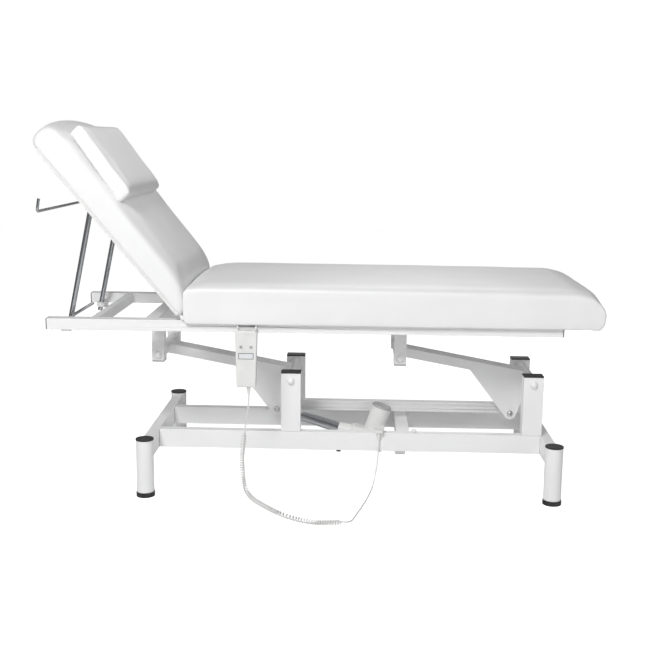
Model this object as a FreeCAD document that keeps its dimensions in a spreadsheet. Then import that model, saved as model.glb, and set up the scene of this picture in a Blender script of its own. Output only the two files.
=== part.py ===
"""Electric facial treatment bed: a base frame on four feet, a parallelogram lift driven by one
linear actuator, a flat upper frame with a padded seat, a hinged padded backrest with a pillow,
two sliding support struts, a roll holder and a wired handset.

Millimetres, +Z up, +X towards the foot end, +Y away from the handset side.
The origin is on the floor under the middle of the bed.
"""
import FreeCAD, Part
import math
import os
import re
import Sketcher
from FreeCAD import Placement, Rotation, Vector

DIMS = {
    # base frame
    "foot_x_head": -504, "foot_x_foot": 657, "foot_y": 283, "foot_radius": 25,
    "foot_top": 166, "pad_height": 14, "pad_radius": 26.5, "cap_thick": 4,
    "base_bottom": 103, "base_height": 55, "base_width": 30, "base_outer": 145, "wall": 2,
    # posts and lift linkage
    "post_x_head": -96, "pitch": 712, "post_x_size": 58, "post_y_size": 40, "post_top": 334,
    "pivot_z": 312, "shaft_radius": 10, "hub_radius": 17, "hub_half": 104, "fit": 0.05,
    "arm_length": 398.6, "arm_angle": 10.4, "beam_half": 34, "beam_height": 28,
    "plate_thick": 6, "far_plate_y": 12, "bolt_x": -28, "bolt_z": -122, "bolt_radius": 6,
    "boss_radius": 19, "loose": 0.3, "dome_radius": 11,
    "link_y": 20, "link_depth": 30, "link_height": 30, "link_over": 25,
    # actuator
    "drive_y": -13, "rear_x": 236, "rear_z": 72, "rod_radius": 10, "tube_radius": 16,
    "eye_radius": 21, "eye_width": 20, "eye_play": 7, "motor_radius": 30,
    # upper frame
    "frame_x_head": -779, "frame_x_foot": 669, "frame_bottom": 478, "frame_height": 32,
    "frame_outer": 268, "frame_width": 40, "hanger_x_size": 36, "hanger_bottom": 366,
    # padding
    "pad_half": 295, "board_half": 283, "board_thick": 15, "seat_head": -382, "seat_foot": 793,
    "seat_top": 605, "hinge_x": -392, "hinge_z": 518, "pin_radius": 3, "back_angle": 49.9, "back_length": 630, "pillow_width": 443, "pillow_y": -56,
    # struts
    "guide_x": -736, "guide_z": 480, "strut_y": 184, "strut_radius": 7.5, "strut_angle": 78.0, "strut_length": 352,
    # handset and cord
    "handset_x": -212, "handset_y": -284, "handset_bottom": 327, "handset_height": 160,
    "key_height": 115, "key_radius": 4, "hook_radius": 2.5, "hook_z": 500,
    "wire": 4.5, "coil": 15,
}

doc = FreeCAD.newDocument("facial_bed")
sheet = doc.addObject("Spreadsheet::Sheet", "dims")
for row, (alias, value) in enumerate(DIMS.items(), start=1):
    sheet.set(f"A{row}", alias)
    sheet.set(f"B{row}", str(value))
    sheet.setAlias(f"B{row}", alias)
doc.recompute()

NODES = []
TILT = "cos(arm_angle * 1deg)", "sin(arm_angle * 1deg)"
BOLT_DX = f"(bolt_x * {TILT[0]} + bolt_z * {TILT[1]})"
BOLT_DZ = f"(bolt_z * {TILT[0]} - bolt_x * {TILT[1]})"
FAR_END = f"(arm_length * {TILT[0]})"
HANGER_Z = f"(pivot_z + arm_length * {TILT[1]})"
ENDS = {"head": "post_x_head", "foot": "(post_x_head + pitch)"}
AXES = {
    "x": Rotation(Vector(0, 1, 0), 90),
    "y": Rotation(Vector(1, 0, 0), -90),
    "z": Rotation(),
}


def expression(text):
    """Point every driving dimension named in text at its cell."""
    return re.sub(r"[a-z_]+", lambda word: ("dims." if word.group() in DIMS else "") + word.group(), str(text))


def value(text):
    """The number that an expression gives, for geometry that has no property to bind."""
    number = sheet.evalExpression(expression(text))
    return float(getattr(number, "Value", number))


def bind(thing, **properties):
    for name, text in properties.items():
        thing.setExpression(name, expression(text))


def place(thing, at, turn=None):
    """Put thing at a bound position, turned by an unbound or bound rotation."""
    if turn is not None:
        thing.Placement = Placement(Vector(), turn)
    for letter, text in zip("xyz", at):
        thing.setExpression(f".Placement.Base.{letter}", expression(text))
    return thing


def named(thing, label):
    thing.Label = label
    NODES.append(thing)
    return thing


def box(size, at):
    thing = doc.addObject("Part::Box", "box")
    bind(thing, Length=size[0], Width=size[1], Height=size[2])
    return place(thing, at)


def rod(radius, length, at, axis="y"):
    thing = doc.addObject("Part::Cylinder", "rod")
    bind(thing, Radius=radius, Height=length)
    return place(thing, at, AXES[axis])


def dome(radius, at, axis="y", facing=1):
    """A half ball whose flat side is at the given point."""
    thing = doc.addObject("Part::Sphere", "dome")
    bind(thing, Radius=radius)
    thing.Angle1 = 0
    turn = AXES[axis] if facing > 0 else AXES[axis].multiply(Rotation(Vector(1, 0, 0), 180))
    return place(thing, at, turn)


def fuse(*shapes):
    thing = doc.addObject("Part::MultiFuse", "fuse")
    thing.Shapes = list(shapes)
    thing.Refine = True
    return thing


def cut(base, *tools):
    thing = doc.addObject("Part::Cut", "cut")
    thing.Base = base
    thing.Tool = tools[0] if len(tools) == 1 else fuse(*tools)
    return thing


def group(*shapes):
    """Separate solids that share one node."""
    thing = doc.addObject("Part::Compound", "group")
    thing.Links = list(shapes)
    return thing


def hollow(size, at, along):
    """A rectangular tube, open at both ends, that runs along one axis."""
    inner_size = [s if axis == along else f"{s} - 2 * wall" for s, axis in zip(size, "xyz")]
    inner_at = [a if axis == along else f"{a} + wall" for a, axis in zip(at, "xyz")]
    return cut(box(size, at), box(inner_size, inner_at))


def plane_of(body, role):
    return next(item for item in body.Origin.OriginFeatures if item.Role == role)


def outline_pad(points, thickness, role="XZ_Plane"):
    """A body: a closed outline of bound corners, padded equally to both sides of its plane."""
    body = doc.addObject("PartDesign::Body", "body")
    sketch = body.newObject("Sketcher::SketchObject", "outline")
    sketch.AttachmentSupport = [(plane_of(body, role), "")]
    sketch.MapMode = "FlatFace"
    corners = [Vector(value(x), value(y), 0) for x, y in points]
    count = len(corners)
    for index in range(count):
        sketch.addGeometry(Part.LineSegment(corners[index], corners[(index + 1) % count]), False)
    for index in range(count):
        sketch.addConstraint(Sketcher.Constraint("Coincident", index, 2, (index + 1) % count, 1))
    for index, (x, y) in enumerate(points):
        for kind, text, number in (("DistanceX", x, corners[index].x), ("DistanceY", y, corners[index].y)):
            place_in_list = sketch.addConstraint(Sketcher.Constraint(kind, -1, 1, index, 1, number))
            sketch.setExpression(f"Constraints[{place_in_list}]", expression(text))
    pad = body.newObject("PartDesign::Pad", "pad")
    pad.Profile = sketch
    pad.Midplane = True
    bind(pad, Length=thickness)
    doc.recompute()
    return body, pad


def rounded(body, feature, radius, chosen):
    """Fillet the edges of feature that chosen(edge) accepts."""
    names = [f"Edge{number}" for number, edge in enumerate(feature.Shape.Edges, start=1) if chosen(edge)]
    fillet = body.newObject("PartDesign::Fillet", "fillet")
    fillet.Base = (feature, names)
    fillet.Radius = radius
    body.Tip = fillet
    doc.recompute()
    return fillet


# ---------------------------------------------------------------- base frame

def base_rails():
    length = "foot_x_foot - foot_x_head - base_width"
    at_x = "foot_x_head + base_width / 2"
    for side, low_y in (("near", "-base_outer"), ("far", "base_outer - base_width")):
        named(hollow((length, "base_width", "base_height"), (at_x, low_y, "base_bottom"), "x"),
              f"base_rail_{side}")


def end_beams():
    for end in ("head", "foot"):
        x = f"foot_x_{end}"
        beam = hollow(("base_width", "2 * foot_y", "base_height"), (f"{x} - base_width / 2", "-foot_y", "base_bottom"), "y")
        legs = [rod("foot_radius", "foot_top", (x, f"{side} * foot_y", 0), "z") for side in (-1, 1)]
        named(cut(beam, *legs), f"end_beam_{end}")


def foot_tube(x, y):
    outer = rod("foot_radius", "foot_top - pad_height", (x, y, "pad_height"), "z")
    inner = rod("foot_radius - wall", "foot_top - pad_height", (x, y, "pad_height"), "z")
    return cut(outer, inner)


def feet():
    for end in ("head", "foot"):
        tubes = [foot_tube(f"foot_x_{end}", f"{sign} * foot_y") for sign in (-1, 1)]
        named(group(*tubes), f"foot_tubes_{end}")


def at_each_foot(radius, height, low_z):
    corners = [(f"foot_x_{end}", f"{sign} * foot_y", low_z) for end in ("head", "foot") for sign in (-1, 1)]
    return [rod(radius, height, corner, "z") for corner in corners]


def foot_caps():
    return at_each_foot("foot_radius + 0.8", "cap_thick", "foot_top")


def foot_pads():
    named(group(*at_each_foot("pad_radius", "pad_height", 0)), "foot_pads")


NEAR_AND_FAR_POST = ("-base_outer", "base_outer - post_y_size")


def posts():
    height = "post_top - base_bottom - base_height"
    caps = []
    for end, x in ENDS.items():
        tubes = []
        for low_y in NEAR_AND_FAR_POST:
            low_x = f"{x} - post_x_size / 2"
            tube = hollow(("post_x_size", "post_y_size", height), (low_x, low_y, "base_bottom + base_height"), "z")
            tubes.append(cut(tube, rod("shaft_radius + fit", 400, (x, -200, "pivot_z"))))
            caps.append(box(("post_x_size", "post_y_size", "cap_thick"), (low_x, low_y, "post_top")))
        named(group(*tubes), f"posts_{end}")
    named(group(*caps, *foot_caps()), "base_tube_caps")


def pivot_shafts(label, z):
    """Two pivot shafts across the bed with a domed nut on each end."""
    pieces = []
    for x in ENDS.values():
        x = f"{x} - {FAR_END}" if label == "upper" else x
        pieces.append(rod("shaft_radius", "2 * base_outer", (x, "-base_outer", z)))
        pieces += [dome("dome_radius", (x, f"{sign} * base_outer", z), "y", sign) for sign in (-1, 1)]
    named(group(*pieces), f"{label}_pivot_shafts")


def actuator_mount():
    tube = hollow((38, "2 * (base_outer - base_width)", 40),
                  ("rear_x - 17", "base_width - base_outer", "base_bottom + base_height - 40"), "y")
    named(tube, "actuator_cross_tube")
    top = "base_bottom + base_height - 40"
    cheeks = []
    for low_y in ("drive_y - 16", "drive_y + 10.5"):
        cheek = box((30, 5.5, f"{top} - rear_z + 14"), ("rear_x - 15", low_y, "rear_z - 14"))
        cheeks.append(cut(cheek, rod("bolt_radius", 60, ("rear_x", "drive_y - 30", "rear_z"))))
    pin = rod("bolt_radius", 42, ("rear_x", "drive_y - 21", "rear_z"))
    named(group(*cheeks, pin), "actuator_rear_clevis")


def rail_fittings():
    """The cord socket that sits on the near base rail, a cord clip on its top and a screw knob under it."""
    rail_top = "(base_bottom + base_height)"
    socket = fuse(box((34, 34, 14), (148, "-base_outer", rail_top)),
                  box((22, 16, 10), (155, "-base_outer - 16", f"{rail_top} + 3")))
    named(socket, "cord_socket")
    at = (270, "-base_outer + 4", f"{rail_top} + 4")
    clip = cut(rod(8, 8, at), rod(5, 8, at), box((30, 30, 20), (255, "-base_outer - 5", f"{rail_top} - 20")))
    named(clip, "cord_clip")
    named(rod(7, 7, (47, "-base_outer + base_width / 2", "base_bottom - 7"), "z"), "rail_knob")


# ---------------------------------------------------------------- lift linkage

def carried(thing, degrees, at):
    """Tip a piece about its own Y axis, which runs through the origin, and move it into place."""
    holder = group(thing)
    holder.Placement = Placement(Vector(), Rotation(Vector(0, 1, 0), value(degrees)))
    holder.setExpression(".Placement.Rotation.Angle", expression(f"({degrees}) * 1deg"))
    return place(holder, at)


def on_arm(thing, end):
    """Place a piece drawn about the arm's lower pivot, with the arm along -X."""
    return carried(thing, "arm_angle", (ENDS[end], 0, "pivot_z"))


def lift_arm(end):
    far = "-arm_length"
    hubs = [rod("hub_radius", 300, (x, -150, 0)) for x in (0, far)]
    beam = cut(box(("arm_length", "2 * beam_half", "beam_height"), (far, "-beam_half", "-beam_height / 2")),
               box(("arm_length", "2 * beam_half - 2 * wall", "beam_height - 2 * wall"),
                   (far, "-beam_half + wall", "wall - beam_height / 2")), *hubs)
    plates = []
    for low_y in ("-beam_half", "far_plate_y"):
        corners = [("-176", "-beam_height / 2"), ("bolt_x - 15.5", "bolt_z - 11"), ("bolt_x + 18.5", "bolt_z - 4"),
                   ("10", "-beam_height / 2")]
        body = outline_pad(corners, "plate_thick")[0]
        place(body, (0, f"{low_y} + plate_thick / 2", 0))
        boss = rod("boss_radius", "plate_thick", ("bolt_x", low_y, "bolt_z"))
        hole = rod("bolt_radius + loose", 100, ("bolt_x", -50, "bolt_z"))
        plates.append(cut(fuse(body, boss), hole, rod("hub_radius", 300, (0, -150, 0))))
    named(on_arm(group(*plates), end), f"crank_plates_{end}")
    tubes = [cut(rod("hub_radius", "2 * hub_half", (x, "-hub_half", 0)), rod(f"shaft_radius + {play}", 300, (x, -150, 0)))
             for x, play in ((0, "fit"), (far, "fit" if end == "head" else "loose"))]
    named(on_arm(group(beam, *tubes), end), f"lift_arm_{end}")


def link():
    bolts_x = [f"{x} + {BOLT_DX}" for x in ENDS.values()]
    z = f"(pivot_z + {BOLT_DZ})"
    bar = hollow(("pitch + 2 * link_over", "link_depth", "link_height"),
                 (f"{bolts_x[0]} - link_over", "link_y", f"{z} - link_height / 2"), "x")
    holes = [rod("bolt_radius", 100, (x, 0, z)) for x in bolts_x]
    named(cut(bar, *holes), "link_bar")
    caps = [box((3, "link_depth", "link_height"), (x, "link_y", f"{z} - link_height / 2"))
            for x in (f"{bolts_x[0]} - link_over - 3", f"{bolts_x[1]} + link_over")]
    named(group(*caps), "link_bar_caps")
    near = "(-beam_half)"
    far = "(link_y + link_depth)"
    shanks = [rod("bolt_radius", f"{far} - {near}", (x, near, z)) for x in bolts_x]
    heads = [dome("bolt_radius + 3", (x, near, z), "y", -1) for x in bolts_x]
    nuts = [rod("bolt_radius + 4", 8, (x, far, z)) for x in bolts_x]
    named(group(*shanks, *heads, *nuts), "crank_bolts")


# ---------------------------------------------------------------- actuator

DRIVE_DX = f"(rear_x - post_x_head - {BOLT_DX})"
DRIVE_DZ = f"(pivot_z + {BOLT_DZ} - rear_z)"


def on_drive(thing):
    """Place a piece drawn about the rear pin, with the actuator along -X."""
    return carried(thing, f"atan({DRIVE_DZ} / {DRIVE_DX}) / 1deg", ("rear_x", "drive_y", "rear_z"))


DRIVE_LENGTH = f"sqrt({DRIVE_DX} ^ 2 + {DRIVE_DZ} ^ 2)"


def actuator():
    reach = value(DRIVE_LENGTH)
    tube = cut(rod("tube_radius", 158, (78 - reach, 0, 0), "x"), rod("rod_radius + fit", 158, (78 - reach, 0, 0), "x"))
    named(on_drive(tube), "actuator_tube")
    collar = doc.addObject("Part::Cone", "collar")
    bind(collar, Radius1="tube_radius + 2.5", Radius2="tube_radius + 7", Height="39")
    place(collar, (197 - reach, 0, 0), AXES["x"])
    named(on_drive(cut(collar, rod("tube_radius", 39, (197 - reach, 0, 0), "x"))), "actuator_collar")
    length = 114
    case = box((length, 52, 54), (236 - reach, -26, -27))
    edges = doc.addObject("Part::Fillet", "case")
    edges.Base = case
    doc.recompute()
    edges.Edges = [(number, 9.0, 9.0) for number in range(1, 13)]
    lug = cut(fuse(box((reach - 236 - length + 2, 20, 26), (236 + length - reach - 2, -10, -13)), rod(15, 20, (0, -10, 0))),
              rod("bolt_radius + fit", 60, (0, -30, 0)))
    seat = rod("motor_radius", 60, (304 - reach, 0, 26.5), "z")
    named(on_drive(cut(fuse(edges, lug), seat)), "gear_housing")
    motor = rod("motor_radius", 79.5, (304 - reach, 0, 26.5), "z")
    named(on_drive(motor), "motor_housing")
    cap = doc.addObject("Part::Cone", "cap")
    bind(cap, Radius1="motor_radius + 0.6", Radius2="motor_radius - 3", Height=7)
    place(cap, (304 - reach, 0, 106), AXES["z"])
    named(on_drive(cap), "motor_end_cap")


def actuator_rod():
    reach = value(DRIVE_LENGTH)
    eye = cut(rod("eye_radius", "eye_width", (-reach, "-eye_width / 2", 0)),
              rod("bolt_radius + eye_play", 60, (-reach, -30, 0)))
    shaft = cut(rod("rod_radius", 158, (17 - reach, 0, 0), "x"), rod("eye_radius - 1", 60, (-reach, -30, 0)))
    named(on_drive(fuse(eye, shaft)), "actuator_rod")


# ---------------------------------------------------------------- upper frame

def upper_rails():
    length = "frame_x_foot - frame_x_head"
    for side, low_y in (("near", "-frame_outer"), ("far", "frame_outer - frame_width")):
        rail = hollow((length, "frame_width", "frame_height"), ("frame_x_head", low_y, "frame_bottom"), "x")
        if side == "near":
            holes = [rod(2.6, 10, (f"handset_x + {dx}", "-frame_outer - 5", 500)) for dx in (-26, 26)]
            rail = cut(rail, *holes)
        named(rail, f"upper_rail_{side}")
    caps = [box((2.5, "frame_width", "frame_height"), (x, low_y, "frame_bottom"))
            for x in ("frame_x_head - 2.5", "frame_x_foot") for low_y in ("-frame_outer", "frame_outer - frame_width")]
    named(group(*caps, *hanger_caps()), "frame_tube_caps")


def cross_tube(low_x, width):
    inside = "(frame_outer - frame_width)"
    return hollow((width, f"2 * {inside}", "frame_height"), (low_x, f"-{inside}", "frame_bottom"), "y")


def cross_members():
    named(group(cross_tube(-661, 20), cross_tube(632, 20)), "end_cross_tubes")
    lifted = [cross_tube(f"{x} - {FAR_END} - hanger_x_size / 2", "hanger_x_size") for x in ENDS.values()]
    named(group(*lifted), "lift_cross_tubes")
    named(rod(5, "2 * (frame_outer - frame_width)", (-775, "frame_width - frame_outer", 475)), "head_cross_rod")


HANGERS = [(f"{x} - {FAR_END}", low_y) for x in ENDS.values() for low_y in NEAR_AND_FAR_POST]


def hanger_caps():
    size = ("hanger_x_size", "post_y_size", 2.5)
    return [box(size, (f"{x} - hanger_x_size / 2", low_y, "hanger_bottom - 2.5")) for x, low_y in HANGERS]


def hangers():
    brackets = []
    for x, low_y in HANGERS:
        size = ("hanger_x_size", "post_y_size", "frame_bottom - hanger_bottom")
        tube = hollow(size, (f"{x} - hanger_x_size / 2", low_y, "hanger_bottom"), "z")
        brackets.append(cut(tube, rod("shaft_radius + fit", 400, (x, -200, HANGER_Z))))
    named(group(*brackets), "lift_hangers")
    pivot_shafts("upper", HANGER_Z)


def seat():
    top = "frame_bottom + frame_height"
    board = box(("seat_foot - seat_head - 50", "2 * board_half", "board_thick"), ("seat_head + 8", "-board_half", top))
    named(board, "seat_board")
    corners = [("seat_head", top), ("seat_head", "seat_top - 6"), ("seat_head + 10", "seat_top"),
               ("seat_foot - 85", "seat_top"), ("seat_foot - 30", "seat_top - 22"), ("seat_foot", "seat_top - 58"),
               ("seat_foot - 6", f"{top} + 14"), ("seat_foot - 28", top)]
    body, pad = outline_pad(corners, "2 * pad_half")
    rounded(body, pad, 18, lambda edge: abs(edge.BoundBox.ZMin - value("seat_top")) < 3 and edge.BoundBox.XLength > 900)
    hole = box(("seat_foot - seat_head - 49", "2 * board_half + 1", "board_thick + 0.5"),
               ("seat_head + 7.5", "-board_half - 0.5", f"{top} - 0.5"))
    named(cut(body, hole), "seat_cushion")


# ---------------------------------------------------------------- backrest

def on_back(thing):
    """Place a piece drawn about the backrest's hinge, with the back along -X."""
    return carried(thing, "back_angle", ("hinge_x", 0, "hinge_z"))


def backrest():
    half = "board_thick / 2"
    board = box(("back_length - 40", "2 * board_half", "board_thick"), ("-back_length + 24", "-board_half", f"-{half}"))
    named(on_back(board), "back_board")
    corners = [("-8", f"-{half}"), ("-18", "18"), ("-78", "52"), ("-back_length + 40", "92"), ("-back_length + 10", "82"),
               ("-back_length", "62"), ("-back_length + 2", "12"), ("-back_length + 16", f"-{half}")]
    body, pad = outline_pad(corners, "2 * pad_half")
    rounded(body, pad, 16, lambda edge: edge.BoundBox.XLength > 400 and edge.BoundBox.ZMax > 80)
    hole = box(("back_length - 22", "2 * board_half + 1", "board_thick + 0.5"),
               ("-back_length + 23.5", "-board_half - 0.5", f"-{half} - 0.5"))
    named(on_back(cut(body, hole)), "back_cushion")


def back_hinges():
    """Two hinges: a pin in a block on each rail, and two knuckles with leaves against the back board."""
    fixed = []
    moving = []
    for sign in (-1, 1):
        y = f"{sign} * (frame_outer - frame_width / 2)"
        rail_top = "(frame_bottom + frame_height)"
        block = box((11, 14, f"hinge_z + 4 - {rail_top}"), ("hinge_x - 5.5", f"{y} - 7", rail_top))
        fixed.append(fuse(block, rod("pin_radius", 56, ("hinge_x", f"{y} - 28", "hinge_z"))))
        for step in (-27, 8):
            leaf = box((16, 19, 6), (-16, f"{y} + {step}", -3))
            knuckle = fuse(leaf, rod("pin_radius + 3", 19, (0, f"{y} + {step}", 0)))
            moving.append(cut(knuckle, rod("pin_radius + fit", 60, (0, f"{y} - 30", 0))))
    named(group(*fixed), "back_hinge_pins")
    named(on_back(group(*moving)), "back_hinge_knuckles")


def pillow():
    corners = [("-350", "73.6"), ("-350", "112"), ("-372", "119"), ("-560", "133.5"), ("-582", "120"), ("-578", "91.5")]
    body, pad = outline_pad(corners, "pillow_width")
    rounded(body, pad, 10, lambda edge: edge.BoundBox.YLength < 1 and edge.BoundBox.ZMax > 110 and edge.BoundBox.XLength > 100)
    named(on_back(place(body, (0, "pillow_y", 0))), "pillow")


def roll_holder():
    """A wire that stands off the back board on a small plate, runs across the bed and turns up at its tip."""
    under = "-board_thick / 2"
    plate = box((60, 40, 5), (-478, 215, f"{under} - 5"))
    path = [Vector(-448, 235, value(under) - 5), Vector(-448, 235, -116), Vector(-477, 235, -110),
            Vector(-477, -300, -110), Vector(-500, -300, -83)]
    named(on_back(group(plate, wire_piece(path, 4, 12))), "roll_holder")


def wire_piece(points, radius, bend):
    """A round wire along straight runs with an arc of radius bend at each corner."""
    holder = doc.addObject("Part::Feature", "wire")
    holder.Shape = swept(points, radius, [bend] * (len(points) - 2))
    return holder


def swept(points, radius, bends):
    edges = []
    start = points[0]
    for index, bend in enumerate(bends, start=1):
        corner = points[index]
        back = (points[index - 1] - corner).normalize()
        ahead = (points[index + 1] - corner).normalize()
        half = (math.pi - back.getAngle(ahead)) / 2
        reach = bend * math.tan(half)
        first = corner + back * reach
        last = corner + ahead * reach
        bisector = (back + ahead).normalize()
        middle = corner + bisector * (bend / math.cos(half) - bend)
        edges.append(Part.LineSegment(start, first).toShape())
        edges.append(Part.Arc(first, middle, last).toShape())
        start = last
    edges.append(Part.LineSegment(start, points[-1]).toShape())
    path = Part.Wire(edges)
    ring = Part.Wire(Part.makeCircle(radius, points[0], points[1] - points[0]))
    solid = path.makePipeShell([ring], True, False)
    expected = math.pi * radius ** 2 * path.Length
    print(f"wire: length {path.Length:.0f} mm, volume ratio {solid.Volume / expected:.4f}")
    return solid


# ---------------------------------------------------------------- support struts

def on_guide(thing, sign):
    """Place a piece drawn about a guide's swivel axis, with the strut along +X."""
    return carried(thing, "-strut_angle", ("guide_x", f"{sign} * strut_y", "guide_z"))


def struts():
    """Two straight rods that slide through swivelling guides on the frame."""
    inside = "frame_outer - frame_width"
    guides = []
    rods = []
    tabs = []
    shoes = []
    for sign in (-1, 1):
        bore = rod("strut_radius + fit", 30, (-15, 0, 0), "x")
        sleeve = cut(rod("strut_radius + 5.5", 14, (-7, 0, 0), "x"), bore)
        trunnion = cut(rod(5, 30, (0, 0 if sign > 0 else -30, 0)), rod("strut_radius + 2.5", 30, (-15, 0, 0), "x"))
        guides.append(on_guide(fuse(sleeve, trunnion), sign))
        rods.append(on_guide(rod("strut_radius", "strut_length", (-20, 0, 0), "x"), sign))
        low_y = "strut_y + 16" if sign > 0 else f"-({inside})"
        tab = box((26, f"{inside} - strut_y - 16", 26), ("guide_x - 13", low_y, "guide_z - 13"))
        hole_y = "strut_y" if sign > 0 else "-strut_y - 60"
        tabs.append(cut(tab, rod("5 + fit", 60, ("guide_x", hole_y, "guide_z"))))
        shoes.append(box((46, 26, 8), (-421, f"{sign} * strut_y - 13", "-board_thick / 2 - 8")))
    named(group(*tabs), "strut_brackets")
    named(group(*guides), "strut_guides")
    named(group(*rods), "strut_rods")
    named(on_back(group(*shoes)), "strut_shoes")


# ---------------------------------------------------------------- handset

def handset():
    """The hand control: a tapering shell with two buttons, hung from the near rail by two hooks."""
    low = "handset_bottom"
    corners = [(-27, 0), (27, 0), (31, "handset_height - 6"), (25, "handset_height"), (-25, "handset_height"),
               (-31, "handset_height - 6")]
    back, back_pad = outline_pad(corners, 12)
    rounded(back, back_pad, 2.5, lambda edge: edge.BoundBox.YMin > 5.9)
    place(back, ("handset_x", "handset_y + 7.5", low))
    front, front_pad = outline_pad(corners, 14)
    rounded(front, front_pad, 4, lambda edge: edge.BoundBox.YMax < -6.9)
    place(front, ("handset_x", "handset_y - 5.6", low))
    key_z = f"{low} + key_height"
    keys = [rod("key_radius + 0.35", 10.6, (f"handset_x + {dx}", "handset_y - 16", key_z)) for dx in (-14, 14)]
    dent = rod(5, 5, ("handset_x", "handset_y - 15.6", f"{low} + handset_height - 14"))
    named(group(cut(front, dent, *keys), back), "handset_shell")
    for name, dx in (("up", -14), ("down", 14)):
        named(rod("key_radius", 6.5, (f"handset_x + {dx}", "handset_y - 14.8", key_z)), f"handset_button_{name}")
    named(box((42, 0.8, 17), ("handset_x - 21", "handset_y - 13.4", f"{low} + 81")), "handset_label")
    hooks = []
    for dx in (-26, 26):
        x = value("handset_x") + dx
        y = value("handset_y") + 7.5
        top = value("hook_z")
        path = [Vector(x, y, value(f"{low} + handset_height")), Vector(x, y, top), Vector(x, -262, top)]
        hooks.append(wire_piece(path, value("hook_radius"), 5))
    named(group(*hooks), "handset_hooks")
    relief = doc.addObject("Part::Cone", "relief")
    bind(relief, Radius1="wire / 2 + 1.2", Radius2=6, Height=22)
    named(place(relief, ("handset_x + 6", "handset_y", f"{low} - 22"), AXES["z"]), "handset_strain_relief")


# ---------------------------------------------------------------- handset cord

CORD_TOP = [(-206, -284, 304.5), (-206, -284, 268), (-213, -284, 230), (-218, -284, 193)]
CORD_CURLY = [(-218, -284, 193), (-225, -284, 141), (-226, -284, 98), (-222, -287, 58), (-214, -298, 26),
              (-193, -322, 10), (-160, -364, 8), (-123, -412, 8), (-81, -453, 8), (-34, -482, 8), (16, -491, 8),
              (66, -480, 8)]
CORD_END = [(66, -480, 8), (80, -476.9, 6.5), (91, -457, 3.6), (100, -415, 2.7), (113, -366, 2.7), (125, -315, 2.7),
            (135.5, -264, 2.7), (144, -214, 2.7), (150, -181, 6), (157, -162, 30), (163, -156, 70),
            (166, -152.6, 107), (166, -152, 139)]


def bends_of(points):
    """Arc radii as large as the runs allow: 0.45 of the shorter run over the tangent of half the turn."""
    radii = []
    for before, corner, after in zip(points, points[1:], points[2:]):
        half = (math.pi - (before - corner).getAngle(after - corner)) / 2
        radii.append(0.45 * min((before - corner).Length, (after - corner).Length) / math.tan(half))
    return radii


def cord():
    for label, route, radius in (("cord_top", CORD_TOP, "wire / 2"), ("cord_curly", CORD_CURLY, "coil / 2"),
                                 ("cord_end", CORD_END, "wire / 2")):
        points = [Vector(*point) for point in route]
        bends = bends_of(points)
        print(label, "radii", [round(bend) for bend in bends])
        tube = doc.addObject("Part::Feature", label)
        tube.Shape = swept(points, value(radius), bends)
        named(tube, label)
    boot = doc.addObject("Part::Cone", "boot")
    bind(boot, Radius1="wire / 2 + 1", Radius2=6.5, Height=22)
    named(place(boot, CORD_END[-1], AXES["z"]), "cord_plug_boot")


def build():
    base_rails()
    end_beams()
    feet()
    foot_pads()
    posts()
    pivot_shafts("lower", "pivot_z")
    actuator_mount()
    rail_fittings()
    for end in ENDS:
        lift_arm(end)
    link()
    actuator()
    actuator_rod()
    upper_rails()
    cross_members()
    hangers()
    seat()
    backrest()
    back_hinges()
    pillow()
    roll_holder()
    struts()
    handset()
    cord()


def write_parts():
    doc.recompute()
    failed = [thing.Label for thing in doc.Objects if {"Invalid", "Error"} & set(thing.State)]
    failed += [thing.Label for thing in NODES if thing.Shape.isNull() or not thing.Shape.isValid()]
    if failed:
        raise RuntimeError(f"these objects failed: {failed}")
    os.makedirs("parts", exist_ok=True)
    for thing in NODES:
        thing.Shape.exportStep(f"parts/{thing.Label}.step")
    print(f"{len(NODES)} nodes")


build()
write_parts()
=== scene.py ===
"""Facial treatment bed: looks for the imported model. Padding, cord and materials, light and camera."""
import math

import bmesh
import bpy
import numpy as np
from mathutils import Matrix, Vector, noise


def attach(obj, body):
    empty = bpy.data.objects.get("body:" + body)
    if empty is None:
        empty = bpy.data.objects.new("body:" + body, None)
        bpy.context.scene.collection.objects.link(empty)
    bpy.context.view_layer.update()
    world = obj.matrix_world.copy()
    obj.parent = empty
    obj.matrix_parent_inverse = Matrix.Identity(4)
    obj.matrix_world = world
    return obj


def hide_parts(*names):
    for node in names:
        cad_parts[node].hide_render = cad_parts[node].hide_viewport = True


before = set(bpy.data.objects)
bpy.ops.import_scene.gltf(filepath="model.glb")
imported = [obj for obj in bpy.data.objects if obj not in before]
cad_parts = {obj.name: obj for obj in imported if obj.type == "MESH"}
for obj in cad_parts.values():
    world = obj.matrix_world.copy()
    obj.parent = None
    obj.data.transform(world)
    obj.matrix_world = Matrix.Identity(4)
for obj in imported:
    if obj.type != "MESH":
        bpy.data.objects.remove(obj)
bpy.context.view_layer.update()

# Lengths are in metres.
CAMERA_PLACE = (0.091, -3.0808, 1.0101)
LENS_MM = 57.15
SENSOR_MM = 36
MIDDLE = (0, 0, 0.5)
ROOM_LIGHT = 0.2
FLOOR_GLOW = (0.8, 0.8, 0.8, 1)
FLOOR_RADIUS = 9

HINGE = Vector((-0.392, 0, 0.518))
BACK_ANGLE = math.radians(49.9)
HALF_WIDTH = 0.295
PAD_HALF = HALF_WIDTH - 0.006
PAD_EDGE = 0.014
PILLOW_HALF = 0.218
PILLOW_EDGE = 0.005
PILLOW_MIDDLE = -0.056
CLOTH_FRAMES = 20
MOST_INWARD = -0.002
EVENING_ROUNDS = 14

TUBE_EDGE = 0.0016
SMALL_EDGE = 0.0009
WIRE = 0.0045
COIL = 0.015
COIL_PITCH = 0.00666
COIL_STEP = 0.0002
POINTS_PER_TURN = 14


# ---------------------------------------------------------------- camera and light

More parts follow.
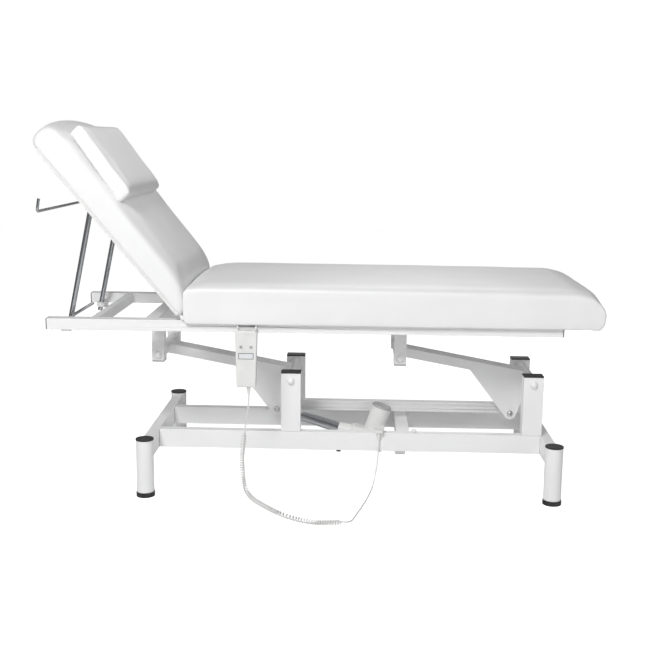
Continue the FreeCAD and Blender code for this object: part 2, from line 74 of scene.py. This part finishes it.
def add_camera():
    yaw, pitch, roll = (math.radians(angle) for angle in (1.86, 10.07, 0.57))
    forward = Vector((-math.sin(yaw) * math.cos(pitch), math.cos(yaw) * math.cos(pitch), -math.sin(pitch)))
    level_right = Vector((math.cos(yaw), math.sin(yaw), 0))
    level_up = level_right.cross(forward)
    right = level_right * math.cos(roll) + level_up * math.sin(roll)
    up = level_up * math.cos(roll) - level_right * math.sin(roll)
    camera = bpy.data.objects.new("camera", bpy.data.cameras.new("camera"))
    camera.matrix_world = Matrix.Translation(CAMERA_PLACE) @ Matrix(
        (right, up, -forward)).transposed().to_4x4()
    camera.data.lens = LENS_MM
    camera.data.sensor_width = SENSOR_MM
    bpy.context.collection.objects.link(camera)
    bpy.context.scene.camera = camera


def add_light(name, place, target, size, power):
    light = bpy.data.objects.new(name, bpy.data.lights.new(name, "AREA"))
    light.data.shape = "DISK"
    light.data.size = size
    light.data.energy = power
    light.location = place
    light.rotation_euler = (Vector(target) - Vector(place)).to_track_quat("-Z", "Y").to_euler()
    bpy.context.collection.objects.link(light)


def studio_world():
    """A white backdrop that lights the bed only weakly; the lamps do the rest."""
    world = bpy.data.worlds.new("studio")
    world.use_nodes = True
    nodes = world.node_tree.nodes
    path = nodes.new("ShaderNodeLightPath")
    strength = nodes.new("ShaderNodeMapRange")
    strength.inputs["To Min"].default_value = ROOM_LIGHT
    strength.inputs["To Max"].default_value = 1.0
    world.node_tree.links.new(path.outputs["Is Camera Ray"], strength.inputs["Value"])
    world.node_tree.links.new(strength.outputs["Result"], nodes["Background"].inputs["Strength"])
    nodes["Background"].inputs["Color"].default_value = (1, 1, 1, 1)
    return world


def add_studio():
    bpy.context.scene.world = studio_world()
    bpy.context.scene.view_settings.view_transform = "Standard"
    add_light("key", (-1.15, -3.1, 3.0), MIDDLE, 1.4, 106)
    add_light("fill", (3.0, -2.8, 1.3), MIDDLE, 1.6, 16)
    add_light("back", (0.5, 3.2, 2.6), MIDDLE, 2.0, 24)
    bpy.ops.mesh.primitive_circle_add(vertices=96, radius=FLOOR_RADIUS, fill_type="NGON", location=(0, 0, 0))
    floor = bpy.context.object
    floor.name = "floor"
    floor.data.materials.append(floor_material())


# ---------------------------------------------------------------- materials

class Shader:
    """A Principled material with a few procedural nodes."""

    def __init__(self, name, color, roughness, **constants):
        self.material = bpy.data.materials.new(name)
        self.material.use_nodes = True
        self.nodes = self.material.node_tree.nodes
        self.links = self.material.node_tree.links
        self.main = self.nodes["Principled BSDF"]
        self.main.inputs["Base Color"].default_value = (*color, 1)
        self.main.inputs["Roughness"].default_value = roughness
        for socket, constant in constants.items():
            self.main.inputs[socket.replace("_", " ").title()].default_value = constant
        self.place = self.nodes.new("ShaderNodeTexCoord").outputs["Object"]
        self.height = None

    def noise(self, scale, detail=3, rough=0.5):
        node = self.nodes.new("ShaderNodeTexNoise")
        node.inputs["Scale"].default_value = scale
        node.inputs["Detail"].default_value = detail
        node.inputs["Roughness"].default_value = rough
        self.links.new(self.place, node.inputs["Vector"])
        return node.outputs["Fac"]

    def cells(self, scale, feature="DISTANCE_TO_EDGE"):
        node = self.nodes.new("ShaderNodeTexVoronoi")
        node.feature = feature
        node.inputs["Scale"].default_value = scale
        self.links.new(self.place, node.inputs["Vector"])
        return node.outputs["Distance"]

    def waves(self, scale, direction, distortion=0):
        node = self.nodes.new("ShaderNodeTexWave")
        node.bands_direction = direction
        node.inputs["Scale"].default_value = scale
        node.inputs["Distortion"].default_value = distortion
        self.links.new(self.place, node.inputs["Vector"])
        return node.outputs["Fac"]

    def ramp(self, source, low, high):
        """Spread source over low to high, clamped."""
        node = self.nodes.new("ShaderNodeMapRange")
        node.inputs["From Min"].default_value = low
        node.inputs["From Max"].default_value = high
        self.links.new(source, node.inputs["Value"])
        return node.outputs["Result"]

    def tint(self, source, dark, light):
        node = self.nodes.new("ShaderNodeMix")
        node.data_type = "RGBA"
        node.inputs["A"].default_value = (*dark, 1)
        node.inputs["B"].default_value = (*light, 1)
        self.links.new(source, node.inputs["Factor"])
        self.links.new(node.outputs["Result"], self.main.inputs["Base Color"])
        return self

    def gloss(self, source, low, high):
        node = self.nodes.new("ShaderNodeMapRange")
        node.inputs["To Min"].default_value = low
        node.inputs["To Max"].default_value = high
        self.links.new(source, node.inputs["Value"])
        self.links.new(node.outputs["Result"], self.main.inputs["Roughness"])
        return self

    def bump(self, source, depth):
        node = self.nodes.new("ShaderNodeBump")
        node.inputs["Strength"].default_value = 1
        node.inputs["Distance"].default_value = depth
        self.links.new(source, node.inputs["Height"])
        if self.height:
            self.links.new(self.height, node.inputs["Normal"])
        self.height = node.outputs["Normal"]
        self.links.new(self.height, self.main.inputs["Normal"])
        return self


def leatherette():
    shader = Shader("leatherette", (0.93, 0.93, 0.93), 0.42, coat_weight=0.08, coat_roughness=0.35)
    shader.tint(shader.ramp(shader.noise(7), 0.3, 0.7), (0.905, 0.905, 0.91), (0.945, 0.945, 0.945))
    shader.gloss(shader.noise(45), 0.36, 0.5)
    shader.bump(shader.noise(9, 2), 0.0012)
    return shader.bump(shader.cells(900), 0.00012).material


def powder_coat():
    shader = Shader("powder_coat", (0.93, 0.93, 0.93), 0.34, coat_weight=0.15, coat_roughness=0.2)
    shader.tint(shader.ramp(shader.noise(5), 0.3, 0.7), (0.92, 0.92, 0.925), (0.95, 0.95, 0.95))
    shader.gloss(shader.noise(60), 0.28, 0.4)
    return shader.bump(shader.noise(700, 2), 0.00006).material


def chrome():
    shader = Shader("chrome", (0.5, 0.51, 0.53), 0.07, metallic=1)
    shader.gloss(shader.noise(120), 0.04, 0.14)
    return shader.bump(shader.noise(15, 2), 0.0001).material


def zinc():
    shader = Shader("zinc", (0.72, 0.72, 0.72), 0.3, metallic=1)
    shader.tint(shader.ramp(shader.noise(90), 0.3, 0.7), (0.62, 0.62, 0.63), (0.8, 0.8, 0.8))
    return shader.gloss(shader.noise(200), 0.22, 0.42).material


def moulded(name, dark, light, roughness):
    """Moulded plastic with a fine spark-eroded texture."""
    shader = Shader(name, light, roughness)
    shader.tint(shader.ramp(shader.noise(30), 0.3, 0.7), dark, light)
    shader.gloss(shader.noise(150), roughness - 0.06, roughness + 0.08)
    return shader.bump(shader.cells(1400, "F1"), 0.00005).material


def rubber():
    shader = Shader("rubber", (0.03, 0.03, 0.03), 0.75)
    shader.tint(shader.ramp(shader.noise(60), 0.35, 0.7), (0.018, 0.018, 0.018), (0.045, 0.045, 0.045))
    return shader.bump(shader.noise(900, 2), 0.00012).material


def board_cover():
    shader = Shader("board_cover", (0.86, 0.86, 0.85), 0.85, sheen_weight=0.1)
    shader.tint(shader.ramp(shader.noise(420), 0.35, 0.65), (0.8, 0.8, 0.79), (0.88, 0.88, 0.87))
    shader.bump(shader.waves(600, "X", 2), 0.00008)
    return shader.bump(shader.waves(600, "Y", 2), 0.00008).material


def label_plate():
    """A blank plate with a thin dark border."""
    shader = Shader("label_plate", (0.8, 0.82, 0.84), 0.3)
    shader.place = shader.nodes["Texture Coordinate"].outputs["Generated"]
    split = shader.nodes.new("ShaderNodeSeparateXYZ")
    shader.links.new(shader.place, split.inputs["Vector"])
    inside = None
    for axis, border in (("X", 0.03), ("Z", 0.08)):
        offset = shader.nodes.new("ShaderNodeMath")
        offset.operation = "PINGPONG"
        offset.inputs[1].default_value = 0.5
        shader.links.new(split.outputs[axis], offset.inputs[0])
        edge = shader.ramp(offset.outputs[0], border, border + 0.01)
        if inside is None:
            inside = edge
            continue
        both = shader.nodes.new("ShaderNodeMath")
        both.operation = "MINIMUM"
        shader.links.new(inside, both.inputs[0])
        shader.links.new(edge, both.inputs[1])
        inside = both.outputs[0]
    shader.tint(inside, (0.08, 0.08, 0.09), (0.8, 0.82, 0.84))
    return shader.bump(shader.noise(60, 2), 0.00003).material


def floor_material():
    shader = Shader("floor", (0.9, 0.9, 0.9), 0.8)
    path = shader.nodes.new("ShaderNodeLightPath")
    shader.links.new(path.outputs["Is Camera Ray"], shader.main.inputs["Emission Strength"])
    shader.main.inputs["Emission Color"].default_value = FLOOR_GLOW
    return shader.tint(shader.noise(2), (0.89, 0.89, 0.89), (0.91, 0.91, 0.91)).material


def paint(material, *nodes):
    for node in nodes:
        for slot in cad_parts[node].material_slots:
            slot.link = "OBJECT"
            slot.material = material


def soften_edges(width, *nodes):
    """Round the sharp edges of CAD nodes, as on real tube and sheet metal."""
    for node in nodes:
        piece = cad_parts[node]
        weld = piece.modifiers.new("weld", "WELD")
        weld.merge_threshold = 0.00002
        bevel = piece.modifiers.new("edge", "BEVEL")
        bevel.width = width
        bevel.segments = 2
        bevel.limit_method = "ANGLE"
        bevel.angle_limit = math.radians(50)
        bevel.harden_normals = True


def finish_cad_nodes():
    white = powder_coat()
    coated = ["base_rail_near", "base_rail_far", "end_beam_head", "end_beam_foot", "foot_tubes_head",
              "foot_tubes_foot", "posts_head", "posts_foot", "actuator_cross_tube", "actuator_rear_clevis",
              "lift_arm_head", "lift_arm_foot", "crank_plates_head", "crank_plates_foot", "link_bar",
              "upper_rail_near", "upper_rail_far", "end_cross_tubes", "lift_cross_tubes", "lift_hangers",
              "strut_brackets", "back_hinge_pins", "back_hinge_knuckles", "strut_shoes"]
    paint(white, *coated)
    caps = moulded("black_cap", (0.02, 0.02, 0.02), (0.04, 0.04, 0.04), 0.5)
    paint(caps, "base_tube_caps", "frame_tube_caps", "link_bar_caps", "rail_knob")
    paint(rubber(), "foot_pads")
    paint(chrome(), "actuator_tube", "actuator_rod", "head_cross_rod", "roll_holder", "strut_rods")
    paint(zinc(), "crank_bolts")
    paint(white, "lower_pivot_shafts", "upper_pivot_shafts")
    case = moulded("white_case", (0.8, 0.8, 0.79), (0.87, 0.87, 0.86), 0.4)
    paint(case, "actuator_collar", "gear_housing", "motor_housing", "strut_guides", "handset_shell",
          "handset_hooks", "handset_strain_relief", "cord_socket", "cord_clip", "cord_plug_boot")
    grey = moulded("grey_case", (0.4, 0.4, 0.41), (0.5, 0.5, 0.51), 0.42)
    paint(grey, "motor_end_cap", "handset_button_up", "handset_button_down")
    paint(label_plate(), "handset_label")
    paint(board_cover(), "seat_board", "back_board")
    soften_edges(TUBE_EDGE, "base_rail_near", "base_rail_far", "end_beam_head", "end_beam_foot", "posts_head",
                 "posts_foot", "upper_rail_near", "upper_rail_far", "end_cross_tubes", "lift_cross_tubes",
                 "lift_hangers", "link_bar", "actuator_cross_tube")
    soften_edges(SMALL_EDGE, "foot_pads", "base_tube_caps", "frame_tube_caps", "link_bar_caps", "cord_socket")


# ---------------------------------------------------------------- cord

TOP_ROUTE = [(-206, -284, 304.5), (-206, -284, 268), (-213, -284, 230), (-218, -284, 193)]
CURLY_ROUTE = [(-218, -284, 193), (-225, -284, 141), (-226, -284, 98), (-222, -287, 58), (-214, -298, 26),
               (-193, -322, 10), (-160, -364, 8), (-123, -412, 8), (-81, -453, 8), (-34, -482, 8),
               (16, -491, 8), (66, -480, 8)]
END_ROUTE = [(66, -480, 8), (80, -476.9, 6.5), (91, -457, 3.6), (100, -415, 2.7), (113, -366, 2.7),
             (125, -315, 2.7), (135.5, -264, 2.7), (144, -214, 2.7), (150, -181, 6), (157, -162, 30),
             (163, -156, 70), (166, -152.6, 107), (166, -152, 139)]


def metres(route):
    return [Vector(point) / 1000 for point in route]


def spline_curve(name, points, resolution):
    curve = bpy.data.curves.new(name, "CURVE")
    curve.dimensions = "3D"
    curve.resolution_u = resolution
    spline = curve.splines.new("NURBS")
    spline.points.add(len(points) - 1)
    for target, point in zip(spline.points, points):
        target.co = (*point, 1)
    spline.order_u = 3
    spline.use_endpoint_u = True
    return bpy.data.objects.new(name, curve)


def line_of(route):
    """Points along the smooth line of a route."""
    guide = spline_curve("guide", metres(route), 24)
    bpy.context.collection.objects.link(guide)
    mesh = bpy.data.meshes.new_from_object(guide)
    points = [vertex.co.copy() for vertex in mesh.vertices]
    bpy.data.objects.remove(guide)
    bpy.data.meshes.remove(mesh)
    return points


def evenly(points, step):
    """Points a fixed step apart along a polyline, with the direction there."""
    spaced = []
    travelled = 0
    for start, end in zip(points, points[1:]):
        run = end - start
        while travelled <= run.length:
            spaced.append((start + run.normalized() * travelled, run.normalized()))
            travelled += step
        travelled -= run.length
    return spaced


def coil_points():
    """The helix: turns close together, opening a little where the coil lies stretched on the floor."""
    line = evenly(line_of(CURLY_ROUTE), COIL_STEP)
    radius = (COIL - WIRE) / 2
    across = Vector((1, 0, 0))
    points = []
    phase = 0
    for index, (centre, ahead) in enumerate(line):
        across = (across - ahead * across.dot(ahead)).normalized()
        along = index / len(line)
        stretch = 1 + 0.9 * math.exp(-((along - 0.68) / 0.09) ** 2) + 0.08 * math.sin(along * 41)
        phase += COIL_STEP * math.tau / (COIL_PITCH * stretch)
        if phase >= len(points) * math.tau / POINTS_PER_TURN:
            grow = min(1, along / 0.02, (1 - along) / 0.02)
            spoke = across * math.cos(phase) + ahead.cross(across) * math.sin(phase)
            points.append(centre + spoke * radius * grow)
    return points


def add_cord():
    points = metres(TOP_ROUTE)[:-1] + coil_points() + metres(END_ROUTE)[1:]
    cord = spline_curve("handset_cord", points, 3)
    cord.data.bevel_depth = WIRE / 2
    cord.data.bevel_resolution = 3
    cord.data.materials.append(moulded("cord_sheath", (0.8, 0.8, 0.79), (0.88, 0.88, 0.87), 0.35))
    bpy.context.collection.objects.link(cord)
    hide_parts("cord_top", "cord_curly", "cord_end")
    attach(cord, "base")


# ---------------------------------------------------------------- padding

def prism(name, outline, half, bevel):
    """A closed solid: an outline in X and Z, swept from -half to half along Y, its edges rounded."""
    mesh = bmesh.new()
    near = [mesh.verts.new((x, -half, z)) for x, z in outline]
    far = [mesh.verts.new((x, half, z)) for x, z in outline]
    mesh.faces.new(near)
    mesh.faces.new(list(reversed(far)))
    count = len(outline)
    for index in range(count):
        after = (index + 1) % count
        mesh.faces.new((near[after], near[index], far[index], far[after]))
    bmesh.ops.recalc_face_normals(mesh, faces=mesh.faces)
    bmesh.ops.bevel(mesh, geom=mesh.edges[:], offset=bevel, segments=3, profile=0.5, affect="EDGES",
                    clamp_overlap=True)
    data = bpy.data.meshes.new(name)
    mesh.to_mesh(data)
    mesh.free()
    piece = bpy.data.objects.new(name, data)
    bpy.context.collection.objects.link(piece)
    return piece


def applied(piece):
    """Bake the piece's modifiers into its mesh."""
    graph = bpy.context.evaluated_depsgraph_get()
    data = bpy.data.meshes.new_from_object(piece.evaluated_get(graph))
    piece.modifiers.clear()
    piece.data = data


def remeshed(piece, voxel):
    remesh = piece.modifiers.new("remesh", "REMESH")
    remesh.mode = "VOXEL"
    remesh.voxel_size = voxel
    applied(piece)


def smoothed(piece, rounds):
    """Even out the steps that the remesh leaves along rounded edges."""
    mesh = bmesh.new()
    mesh.from_mesh(piece.data)
    for _ in range(rounds):
        bmesh.ops.smooth_vert(mesh, verts=mesh.verts, factor=0.5,
                              use_axis_x=True, use_axis_y=True, use_axis_z=True)
    mesh.to_mesh(piece.data)
    mesh.free()


def puffed(piece, held, cap, pressure=4):
    """Blow the cover out by cloth simulation, at most by cap; held(point) is true where it is fixed."""
    group = piece.vertex_groups.new(name="held")
    group.add([v.index for v in piece.data.vertices if held(v.co)], 1, "REPLACE")
    cloth = piece.modifiers.new("cloth", "CLOTH")
    cloth.settings.quality = 5
    cloth.settings.mass = 0.25
    cloth.settings.tension_stiffness = 18
    cloth.settings.compression_stiffness = 18
    cloth.settings.shear_stiffness = 8
    cloth.settings.bending_stiffness = 1.5
    cloth.settings.use_pressure = True
    cloth.settings.uniform_pressure_force = pressure
    cloth.settings.effector_weights.gravity = 0
    cloth.settings.vertex_group_mass = "held"
    mesh = piece.data
    rest = coordinates(mesh)
    normals = np.empty_like(rest)
    mesh.vertex_normals.foreach_get("vector", normals.ravel())
    for step in range(1, CLOTH_FRAMES + 1):
        bpy.context.scene.frame_set(step)
    graph = bpy.context.evaluated_depsgraph_get()
    moved = coordinates(piece.evaluated_get(graph).to_mesh())
    piece.modifiers.clear()
    piece.vertex_groups.clear()
    swell = np.clip(((moved - rest) * normals).sum(axis=1), MOST_INWARD, cap)
    swell = evened(mesh, swell, EVENING_ROUNDS)
    mesh.vertices.foreach_set("co", (rest + normals * swell[:, None]).ravel())
    mesh.update()
    bpy.context.scene.frame_set(1)


def coordinates(mesh):
    points = np.empty((len(mesh.vertices), 3))
    mesh.vertices.foreach_get("co", points.ravel())
    return points


def evened(mesh, amounts, rounds):
    """Average a value per point with its neighbours' a few times."""
    ends = np.empty((len(mesh.edges), 2), dtype=int)
    mesh.edges.foreach_get("vertices", ends.ravel())
    degree = np.bincount(ends.ravel(), minlength=len(amounts)) + 1
    for _ in range(rounds):
        total = amounts.copy()
        np.add.at(total, ends[:, 0], amounts[ends[:, 1]])
        np.add.at(total, ends[:, 1], amounts[ends[:, 0]])
        amounts = total / degree
    return amounts


def shape_points(piece, shift):
    """Move every point of the piece by shift(point)."""
    for vertex in piece.data.vertices:
        vertex.co += shift(vertex.co)


def covered(piece, material, body, *solids, fill):
    piece.data.materials.append(material)
    for polygon in piece.data.polygons:
        polygon.use_smooth = True
    smooth = piece.modifiers.new("smooth", "SUBSURF")
    smooth.levels = 1
    smooth.render_levels = 1
    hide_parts(*solids)
    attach(piece, body)


def ease(value, low, high):
    t = min(1, max(0, (value - low) / (high - low)))
    return t * t * (3 - 2 * t)


def leaned(piece):
    """Turn a piece drawn about the hinge, with the back along -X, to its resting angle."""
    piece.data.transform(Matrix.Translation(HINGE) @ Matrix.Rotation(BACK_ANGLE, 4, "Y"))


def crown(y):
    """1 along the middle of the bed, falling to 0 at its sides."""
    return max(0, 1 - (y / HALF_WIDTH) ** 2)


def add_seat(material):
    outline = [(-0.393, 0.512), (-0.393, 0.56), (-0.392, 0.594), (-0.380, 0.602), (0.700, 0.598),
               (0.748, 0.588), (0.776, 0.568), (0.787, 0.545), (0.782, 0.520), (0.764, 0.508), (0.74, 0.512)]
    seat = prism("seat_padding", outline, PAD_HALF, PAD_EDGE)
    remeshed(seat, voxel=0.0095)
    puffed(seat, lambda p: p.z < 0.517 and abs(p.y) < 0.27 and p.x < 0.74, cap=0.012)

    def settle(p):
        rim = ease(abs(p.y), 0.268, 0.278) * (1 - ease(p.z, 0.508, 0.54))
        top = ease(p.z, 0.56, 0.6) * crown(p.y)
        return Vector((0, 0, 0.007 * top - 0.013 * rim + 0.0006 * noise.noise(p * 9)))

    shape_points(seat, settle)
    covered(seat, material, "upper_frame", "seat_cushion", fill=0.9)


def add_back(material):
    outline = [(-0.004, -0.0055), (-0.010, 0.016), (-0.036, 0.037), (-0.060, 0.053), (-0.084, 0.062),
               (-0.30, 0.069), (-0.560, 0.083), (-0.606, 0.077), (-0.630, 0.058), (-0.634, 0.016),
               (-0.618, -0.0065)]
    back = prism("back_padding", outline, PAD_HALF, PAD_EDGE)
    remeshed(back, voxel=0.009)
    smoothed(back, rounds=4)
    puffed(back, lambda p: p.z < 0.005, cap=0.011)

    def settle(p):
        head = ease(-p.x, 0.50, 0.64)
        top = ease(p.z, 0.03, 0.07)
        wave = 0.0007 * noise.noise(p * 8)
        return Vector((-0.036 * head * crown(p.y) ** 0.7, 0, (0.006 * crown(p.y) + wave) * top))

    shape_points(back, settle)
    leaned(back)
    covered(back, material, "backrest", "back_cushion", fill=0.9)


def add_pillow(material):
    outline = [(-0.352, 0.0745), (-0.352, 0.115), (-0.366, 0.121), (-0.574, 0.134), (-0.586, 0.127),
               (-0.582, 0.0935)]
    pillow = prism("head_pillow", outline, PILLOW_HALF, PILLOW_EDGE)
    remeshed(pillow, voxel=0.0055)
    puffed(pillow, lambda p: p.z < 0.078 + (-0.352 - p.x) * 0.078, cap=0.005, pressure=3)
    shape_points(pillow, lambda p: Vector((0, PILLOW_MIDDLE, 0.0005 * noise.noise(p * 13))))
    leaned(pillow)
    covered(pillow, material, "pillow", "pillow", fill=0.95)


def main():
    add_camera()
    add_cord()
    add_studio()
    finish_cad_nodes()
    cover = leatherette()
    add_seat(cover)
    add_back(cover)
    add_pillow(cover)


main()
